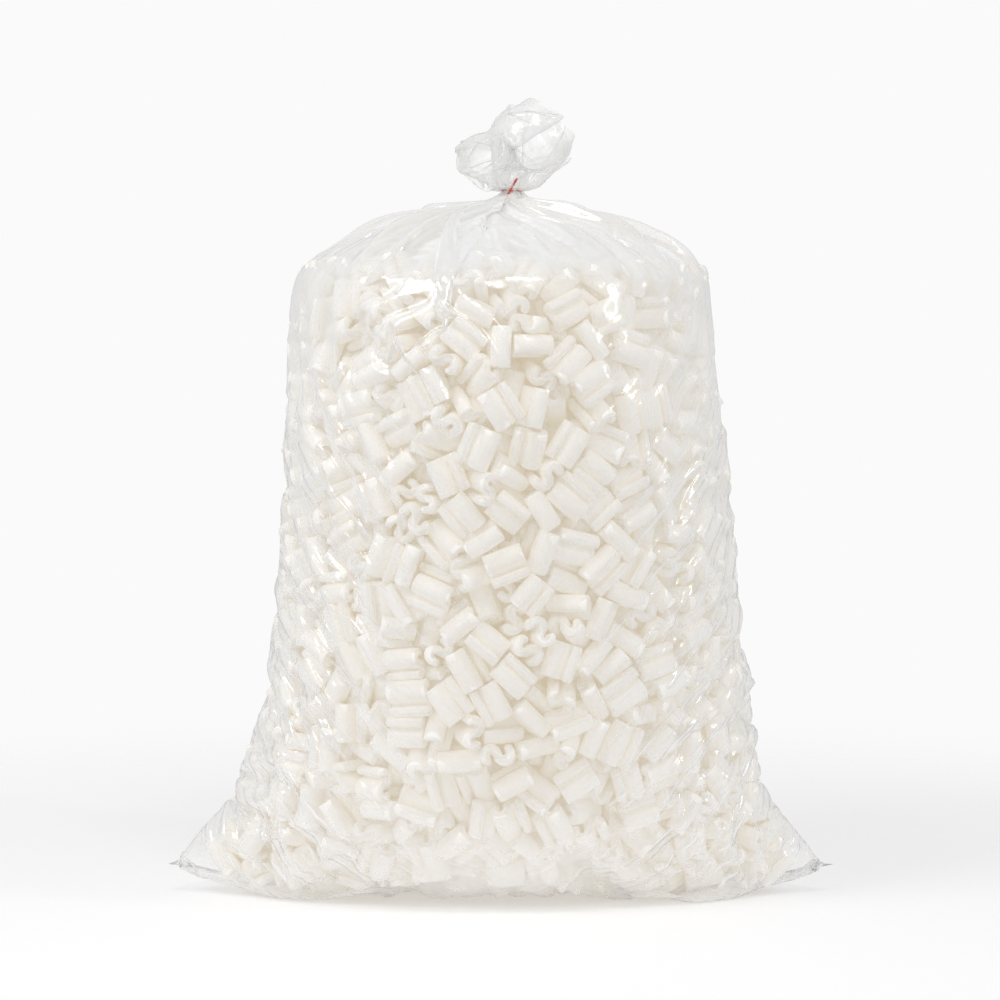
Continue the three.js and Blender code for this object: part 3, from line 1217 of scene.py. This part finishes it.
@dataclass
class PeanutPieces:
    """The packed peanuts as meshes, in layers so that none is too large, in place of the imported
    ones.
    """

    heap: PeanutHeap
    nodes: list[str]
    shape: PeanutShape = field(default_factory=PeanutShape)
    bend: float = 2.2

    def build(self) -> list[bpy.types.Object]:
        """Makes one mesh for each layer of the bag.

        Each peanut is stretched a little along each axis and bent: its height Z gains the bend
        times the square of X.

        Returns:
            The pieces.
        """
        rng = np.random.default_rng(SEED + 1)
        points, faces = self.shape.surface()
        turns = turn_matrices(self.heap.turn)
        stretch = rng.uniform(0.92, 1.04, (self.heap.count, 1, 3))
        bend = rng.normal(0.0, self.bend, (self.heap.count, 1))
        tone = rng.uniform(0.0, 1.0, self.heap.count)
        order = np.argsort(self.heap.place[:, 2])
        made = []
        foam = Foam().material()
        for name, chosen in zip(LAYERS, np.array_split(order, len(LAYERS))):
            local = points[None] * stretch[chosen] * self.heap.scale[chosen, None, None]
            local[..., 2] += bend[chosen] * (local[..., 0] ** 2 - 0.0001)
            where = np.einsum("nij,nkj->nki", turns[chosen], local)
            where += self.heap.place[chosen, None]
            base = (np.arange(len(chosen)) * len(points))[:, None, None]
            many = [(f[None] + base).reshape(-1, f.shape[1]) for f in faces]
            piece = new_mesh_object(name, where.reshape(-1, 3), many)
            add_attribute(piece, "tone", np.repeat(tone[chosen], len(points)))
            piece.data.materials.append(foam)
            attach(piece, "root")
            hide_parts("peanut_core")
            made.append(piece)
        loose = [n for n in self.nodes if n.startswith("peanut_") and n != "peanut_core"]
        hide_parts("peanut_core", *loose)
        return made


@dataclass(frozen=True)
class TwistTie:
    """A thin paper-covered wire round the neck, its two ends twisted together in front."""

    middle: tuple[float, float, float] = (0.010, 0.0, 0.6705)
    radius: float = 0.0096
    wire: float = 0.00070
    tail: float = 0.0190
    tail_way: tuple[float, float, float] = (0.42, -0.80, 0.70)
    turns: float = 2.5

    def build(self) -> bpy.types.Object:
        """Makes the band and the two twisted ends as three closed tubes.

        The band is a flattened circle that waves up and down twice. The ends wind round a line
        that leans up and to the right, away from the band.

        Returns:
            The tie.
        """
        angle = np.linspace(0.0, TAU, 49)[:-1]
        band = np.stack([np.cos(angle), 0.9 * np.sin(angle), 0.05 * np.sin(2 * angle)], -1)
        tubes = [self._tube(np.array(self.middle) + self.radius * band, closed=True)]
        s = np.linspace(0.0, 1.0, 33)
        start = np.array(self.middle) + np.array([-0.0030, -0.9 * self.radius - 0.0014, -0.0030])
        line = start + s[:, None] * self.tail * np.array(self.tail_way)
        for side in (0.0, math.pi):
            wind = TAU * self.turns * s + side
            away = np.stack([np.cos(wind), np.sin(wind), np.zeros_like(s)], -1)
            tubes.append(self._tube(line + 0.8 * self.wire * away, closed=False))
        points, quads, caps, base = [], [], [], 0
        for tube, sides, ends in tubes:
            points.append(tube)
            quads.append(sides + base)
            caps.append(ends + base)
            base += len(tube)
        tie = new_mesh_object(
            "twist_tie_wire",
            np.concatenate(points),
            [np.concatenate(quads), np.concatenate(caps[1:])],
        )
        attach(tie, "root")
        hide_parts("twist_tie")
        tie.data.materials.append(TiePaper().material())
        return tie

    def _tube(self, path: Array, closed: bool) -> tuple[Array, Array, Array]:
        """A round tube along a path: eight points round each of the path's points.

        Args:
            path: The path's points.
            closed: Whether the path's end meets its start.

        Returns:
            Points, four-cornered faces, and the two end faces (none for a closed path).
        """
        if closed:
            along = np.roll(path, -1, axis=0) - np.roll(path, 1, axis=0)
        else:
            along = np.gradient(path, axis=0)
        along = unit(along)
        aside = unit(np.cross(along, np.array([0.15, -1.0, 0.3])))
        above = np.cross(aside, along)
        ring = np.linspace(0.0, TAU, 9)[:-1]
        round_ = np.cos(ring)[None, :, None] * aside[:, None]
        round_ = round_ + np.sin(ring)[None, :, None] * above[:, None]
        points = (path[:, None] + self.wire * round_).reshape(-1, 3)
        ident = np.arange(len(points)).reshape(len(path), 8)
        low = ident if closed else ident[:-1]
        high = np.roll(ident, -1, axis=0) if closed else ident[1:]
        right, far = np.roll(low, -1, axis=1), np.roll(high, -1, axis=1)
        quads = np.stack([low, high, far, right], -1).reshape(-1, 4)
        ends = np.stack([ident[0], ident[-1][::-1]]) if not closed else np.zeros((0, 8), int)
        return points, quads, ends


# ---- Finishes -----------------------------------------------------------------------------

Settings = dict[str | int, object]


def new_material(name: str) -> tuple[bpy.types.Material, bpy.types.Node]:
    """Makes a node material and finds its shader.

    Args:
        name: Name of the material.

    Returns:
        The material and its Principled BSDF node.
    """
    material = bpy.data.materials.new(name)
    material.use_nodes = True
    return material, material.node_tree.nodes["Principled BSDF"]


def set_inputs(node: bpy.types.Node, inputs: Settings) -> None:
    """Sets a node's inputs, or links them to other nodes' outputs.

    Args:
        node: The node.
        inputs: A value or another node's output for each input, by name or place.
    """
    for key, value in inputs.items():
        if isinstance(value, bpy.types.NodeSocket):
            node.id_data.links.new(value, node.inputs[key])
        else:
            node.inputs[key].default_value = value


def add_node(
    tree: bpy.types.NodeTree, kind: str, inputs: Settings | None = None, **settings: object
) -> bpy.types.Node:
    """Adds a node to a material or to the room's light.

    Args:
        tree: The node tree.
        kind: The node's type, without the word Shader and the word Node in front.
        inputs: A value or another node's output for each input, by name or place.
        **settings: The node's other settings.

    Returns:
        The node.
    """
    node = tree.nodes.new("ShaderNode" + kind)
    for key, value in settings.items():
        setattr(node, key, value)
    set_inputs(node, inputs or {})
    return node


@dataclass(frozen=True)
class Foam:
    """Matt white expanded foam with fine cells."""

    colour: tuple[float, float, float] = (0.968, 0.962, 0.958)
    shade: tuple[float, float, float] = (0.960, 0.948, 0.925)
    # Painted light: colour and strength of a warm glow that lifts the shade between the peanuts.
    painted_warm_light_colour: tuple[float, float, float] = (1.0, 0.86, 0.62)
    glow: float = 0.118
    cells: float = 650.0
    cell_depth: float = 0.0006

    def material(self) -> bpy.types.Material:
        """Makes the finish: each peanut has its own tone, and all are pitted with small cells.

        The faint warm glow is painted light: it lifts and warms the shade between the peanuts,
        in place of the light that goes through the foam from cell to cell.

        Returns:
            The material.
        """
        material, shader = new_material("foam")
        tree = material.node_tree
        coords = add_node(tree, "TexCoord")
        tone = add_node(tree, "Attribute", attribute_name="tone")
        cells = add_node(
            tree, "TexVoronoi", {"Scale": self.cells, "Vector": coords.outputs["Object"]}
        )
        mixed = add_node(
            tree,
            "Mix",
            {"A": (*self.colour, 1.0), "B": (*self.shade, 1.0), "Factor": tone.outputs["Fac"]},
            data_type="RGBA",
        )
        height = cells.outputs["Distance"]
        bump = add_node(
            tree, "Bump", {"Strength": 0.6, "Distance": self.cell_depth, "Height": height}
        )
        set_inputs(
            shader,
            {
                "Base Color": mixed.outputs["Result"],
                "Normal": bump.outputs["Normal"],
                "Roughness": 0.9,
                "Specular IOR Level": 0.1,
                # Painted light: every peanut glows faintly warm, which lightens and warms its
                # shaded gaps.
                "Emission Color": (*self.painted_warm_light_colour, 1.0),
                "Emission Strength": self.glow,
            },
        )
        return material


@dataclass(frozen=True)
class TiePaper:
    """Red paper over wire, its colour rubbed a little uneven."""

    colour: tuple[float, float, float] = (0.60, 0.035, 0.02)
    worn: tuple[float, float, float] = (0.78, 0.16, 0.10)
    grain: float = 900.0
    grain_depth: float = 0.0002

    def material(self) -> bpy.types.Material:
        """Makes the finish: the same noise gives the worn places and the paper's relief.

        Returns:
            The material.
        """
        material, shader = new_material("tie_paper")
        tree = material.node_tree
        coords = add_node(tree, "TexCoord")
        grain = add_node(
            tree, "TexNoise", {"Scale": self.grain, "Vector": coords.outputs["Object"]}
        )
        height = grain.outputs["Fac"]
        mixed = add_node(
            tree,
            "Mix",
            {"A": (*self.colour, 1.0), "B": (*self.worn, 1.0), "Factor": height},
            data_type="RGBA",
        )
        bump = add_node(
            tree, "Bump", {"Strength": 0.4, "Distance": self.grain_depth, "Height": height}
        )
        set_inputs(
            shader,
            {
                "Base Color": mixed.outputs["Result"],
                "Normal": bump.outputs["Normal"],
                "Roughness": 0.55,
            },
        )
        return material


@dataclass(frozen=True)
class ClearFilm:
    """Clear, glossy, slightly milky polyethylene film with fine crinkles."""

    clearest: float = 0.05
    milkiest: float = 0.92
    slant: float = 0.58
    crinkle: float = 0.006
    crinkle_slant: float = math.radians(38.0)
    crinkle_scale: tuple[float, float, float] = (17.0, 110.0, 1.0)
    fine_scale: float = 70.0
    fine_share: float = 0.12
    # Painted glints: the crinkle heights over which they fade in, and their strength.
    painted_glint_band: tuple[float, float] = (0.60, 0.72)
    painted_glint_strength: float = 0.6
    colour: tuple[float, float, float] = (0.95, 0.95, 0.945)

    def material(self) -> bpy.types.Material:
        """Makes the finish: a glossy skin mixed with clear.

        There is more of the skin at a slant, where the film is milky, and along the crinkles'
        crests, where it paints whitish glints. The skin's faint glow is painted light too.

        Returns:
            The material.
        """
        material, shader = new_material("clear_film")
        tree = material.node_tree
        flat = add_node(tree, "Attribute", attribute_name="flat").outputs["Vector"]
        crease = add_node(tree, "Attribute", attribute_name="crease").outputs["Fac"]
        crinkles = self._crinkles(tree, flat)
        skin = self._skin_share(tree, crinkles, crease)
        clear = add_node(tree, "BsdfTransparent")
        mixed = add_node(
            tree,
            "MixShader",
            {"Fac": skin, 1: clear.outputs["BSDF"], 2: shader.outputs["BSDF"]},
        )
        set_inputs(
            shader,
            {
                "Normal": self._relief(tree, flat, crinkles, crease),
                "Base Color": (*self.colour, 1.0),
                # Painted light: the glossy skin glows a faint white, which brightens the film.
                "Emission Color": (1.0, 1.0, 1.0, 1.0),
                "Emission Strength": 0.10,
                "Metallic": 0.35,
                "Roughness": 0.15,
            },
        )
        set_inputs(tree.nodes["Material Output"], {"Surface": mixed.outputs["Shader"]})
        return material

    def _crinkles(
        self, tree: bpy.types.NodeTree, flat: bpy.types.NodeSocket
    ) -> bpy.types.NodeSocket:
        """Long crinkles that run aslant across the flat film: noise, turned and drawn out.

        Args:
            tree: The node tree.
            flat: Place on the flat film.

        Returns:
            Height of the crinkles, from 0 to 1.
        """
        turned = add_node(
            tree, "Mapping", {"Rotation": (0.0, 0.0, self.crinkle_slant), "Vector": flat}
        )
        drawn = add_node(
            tree, "Mapping", {"Scale": self.crinkle_scale, "Vector": turned.outputs["Vector"]}
        )
        noise = add_node(
            tree, "TexNoise", {"Scale": 1.0, "Detail": 1.0, "Vector": drawn.outputs["Vector"]}
        )
        return noise.outputs["Fac"]

    def _relief(
        self,
        tree: bpy.types.NodeTree,
        flat: bpy.types.NodeSocket,
        crinkles: bpy.types.NodeSocket,
        crease: bpy.types.NodeSocket,
    ) -> bpy.types.NodeSocket:
        """The surface's normal: crinkles where the film is creased, over finer noise.

        Args:
            tree: The node tree.
            flat: Place on the flat film.
            crinkles: Height of the crinkles.
            crease: How creased the film is.

        Returns:
            The normal.
        """
        fine = add_node(
            tree, "TexNoise", {"Scale": self.fine_scale, "Detail": 1.5, "Vector": flat}
        )
        drawn = add_node(tree, "Math", {0: crinkles, 1: crease}, operation="MULTIPLY")
        height = add_node(
            tree,
            "Math",
            {0: fine.outputs["Fac"], 1: self.fine_share, 2: drawn.outputs["Value"]},
            operation="MULTIPLY_ADD",
        )
        bump = add_node(
            tree,
            "Bump",
            {"Strength": 1.0, "Distance": self.crinkle, "Height": height.outputs["Value"]},
        )
        return bump.outputs["Normal"]

    def _skin_share(
        self,
        tree: bpy.types.NodeTree,
        crinkles: bpy.types.NodeSocket,
        crease: bpy.types.NodeSocket,
    ) -> bpy.types.NodeSocket:
        """How much of the glossy skin shows: slant, plus haze, plus painted glints on crinkle
        crests.

        Args:
            tree: The node tree.
            crinkles: Height of the crinkles.
            crease: How creased the film is.

        Returns:
            The share of the skin, from 0 to 1.
        """
        slant = add_node(tree, "LayerWeight", {"Blend": self.slant})
        haze = add_node(tree, "Attribute", attribute_name="haze")
        amount = add_node(
            tree,
            "MapRange",
            {
                "To Min": self.clearest,
                "To Max": self.milkiest,
                "Value": slant.outputs["Facing"],
            },
        )
        milky = add_node(
            tree,
            "Math",
            {0: amount.outputs["Result"], 1: haze.outputs["Fac"]},
            operation="ADD",
            use_clamp=True,
        )
        # Painted glints: whitish streaks on the crinkles' highest crests, strongest where the
        # film is creased.
        painted_glints = add_node(
            tree,
            "MapRange",
            {
                "From Min": self.painted_glint_band[0],
                "From Max": self.painted_glint_band[1],
                "To Max": self.painted_glint_strength,
                "Value": crinkles,
            },
            interpolation_type="SMOOTHSTEP",
        )
        total = add_node(
            tree,
            "Math",
            {0: painted_glints.outputs["Result"], 1: crease, 2: milky.outputs["Value"]},
            operation="MULTIPLY_ADD",
            use_clamp=True,
        )
        return total.outputs["Value"]


# ---- The studio ---------------------------------------------------------------------------


@dataclass(frozen=True)
class SoftBox:
    """A rectangular soft light that faces the bag."""

    name: str
    azimuth: float
    elevation: float
    distance: float
    width: float
    height: float
    radiance: float

    def build(self, target: Vector) -> None:
        """Makes the light.

        Args:
            target: Point that the light faces.
        """
        light = bpy.data.lights.new(self.name, "AREA")
        light.shape = "RECTANGLE"
        light.size, light.size_y = self.width, self.height
        light.energy = self.radiance * math.pi * self.width * self.height
        obj = bpy.data.objects.new(self.name, light)
        bpy.context.scene.collection.objects.link(obj)
        a, e = math.radians(self.azimuth), math.radians(self.elevation)
        back = Vector((math.sin(a) * math.cos(e), -math.cos(a) * math.cos(e), math.sin(e)))
        obj.location = target + back * self.distance
        obj.rotation_euler = (-back).to_track_quat("-Z", "Y").to_euler()


@dataclass(frozen=True)
class Studio:
    """A pale floor in an even white room, three soft boxes and the camera.

    The room and the floor's glow each have one level for lighting the bag and one for what the
    camera sees of them. The floor is opaque up to one radius and has faded out by another.
    """

    elevation: float = 3.5
    distance: float = 3.2
    lens: float = 121.0
    room: float = 0.572
    backdrop: float = 0.956
    target: tuple[float, float, float] = (-0.001, 0.0, 0.3770)
    floor_colour: tuple[float, float, float] = (0.89, 0.89, 0.90)
    floor_glow: tuple[float, float] = (0.10, 0.23)
    floor_fade: tuple[float, float] = (0.36, 1.4)
    boxes: tuple[SoftBox, ...] = (
        SoftBox("left_box", -50.0, 34.0, 2.6, 1.0, 0.9, 5.0),
        SoftBox("top_box", 12.0, 52.0, 2.4, 0.6, 0.35, 11.0),
        SoftBox("right_box", 62.0, 25.0, 2.6, 0.2, 0.9, 9.5),
    )

    def camera(self) -> None:
        """Makes the camera, looking at the middle of the bag from a little above."""
        data = bpy.data.cameras.new("camera")
        data.lens = self.lens
        data.sensor_width = 36.0
        obj = bpy.data.objects.new("camera", data)
        bpy.context.scene.collection.objects.link(obj)
        e = math.radians(self.elevation)
        target = Vector(self.target)
        obj.location = target + Vector((0.0, -math.cos(e), math.sin(e))) * self.distance
        obj.rotation_euler = (math.radians(90.0) - e, 0.0, 0.0)
        bpy.context.scene.camera = obj

    def lights(self) -> None:
        """Makes the soft boxes and the even light of the room."""
        for box in self.boxes:
            box.build(Vector((0.0, 0.0, 0.35)))
        world = bpy.data.worlds.new("room")
        bpy.context.scene.world = world
        world.use_nodes = True
        tree = world.node_tree
        path = add_node(tree, "LightPath")
        level = add_node(
            tree,
            "MapRange",
            {
                "To Min": self.room,
                "To Max": self.backdrop,
                "Value": path.outputs["Is Camera Ray"],
            },
        )
        set_inputs(
            tree.nodes["Background"],
            {"Color": (1.0, 1.0, 1.0, 1.0), "Strength": level.outputs["Result"]},
        )

    def floor(self) -> None:
        """Makes the floor: a disc, opaque under the bag and fading out towards its rim."""
        ring = np.linspace(0.0, TAU, 97)[:-1]
        radii = np.array([0.5, 1.0, 1.5, 2.2])
        points = np.stack([np.outer(radii, np.cos(ring)), np.outer(radii, np.sin(ring))], -1)
        points = np.concatenate([points, np.zeros((*points.shape[:2], 1))], -1).reshape(-1, 3)
        ident = np.arange(len(points)).reshape(4, 96)
        right = np.roll(ident, -1, axis=1)
        quads = np.stack([ident[:-1], ident[1:], right[1:], right[:-1]], -1).reshape(-1, 4)
        floor = new_mesh_object("floor", points, [quads, ident[:1]])
        material, shader = new_material("pale_floor")
        tree = material.node_tree
        seen = add_node(tree, "LightPath")
        glow = add_node(
            tree,
            "MapRange",
            {
                "To Min": self.floor_glow[0],
                "To Max": self.floor_glow[1],
                "Value": seen.outputs["Is Camera Ray"],
            },
        )
        coords = add_node(tree, "TexCoord")
        away = add_node(tree, "VectorMath", {0: coords.outputs["Object"]}, operation="LENGTH")
        fade = add_node(
            tree,
            "MapRange",
            {
                "From Min": self.floor_fade[0],
                "From Max": self.floor_fade[1],
                "To Min": 1.0,
                "To Max": 0.0,
                "Value": away.outputs["Value"],
            },
            interpolation_type="SMOOTHSTEP",
        )
        set_inputs(
            shader,
            {
                "Base Color": (*self.floor_colour, 1.0),
                "Emission Color": (1.0, 1.0, 1.0, 1.0),
                "Emission Strength": glow.outputs["Result"],
                "Roughness": 0.9,
                "Specular IOR Level": 0.1,
                "Alpha": fade.outputs["Result"],
            },
        )
        floor.data.materials.append(material)


# ---- Assembly -----------------------------------------------------------------------------

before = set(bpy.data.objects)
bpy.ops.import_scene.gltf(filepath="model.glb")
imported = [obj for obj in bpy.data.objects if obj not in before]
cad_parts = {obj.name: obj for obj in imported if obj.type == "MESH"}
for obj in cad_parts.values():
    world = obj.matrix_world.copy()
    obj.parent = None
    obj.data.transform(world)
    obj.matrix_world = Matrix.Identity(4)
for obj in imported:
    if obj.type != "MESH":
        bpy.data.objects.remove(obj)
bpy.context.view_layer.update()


def main() -> None:
    """Builds the studio, the peanuts, the film and the tie, in that order."""
    logging.basicConfig(level=logging.INFO)
    scene = bpy.context.scene
    scene.view_settings.view_transform = "Standard"
    scene.cycles.transparent_max_bounces = 32
    scene.cycles.max_bounces = 8
    scene.cycles.glossy_bounces = 2
    studio = Studio()
    studio.camera()
    studio.lights()
    studio.floor()
    form = BagForm()
    heap = PeanutHeap(form, 2950)
    heap.settle(200)
    for piece in PeanutPieces(heap, list(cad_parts)).build():
        LOG.info("made %s", piece.name)
    film = FilmBag(form, heap).build()
    LOG.info("made %s", film.name)
    tie = TwistTie().build()
    LOG.info("made %s", tie.name)


if __name__ == "__main__":
    main()
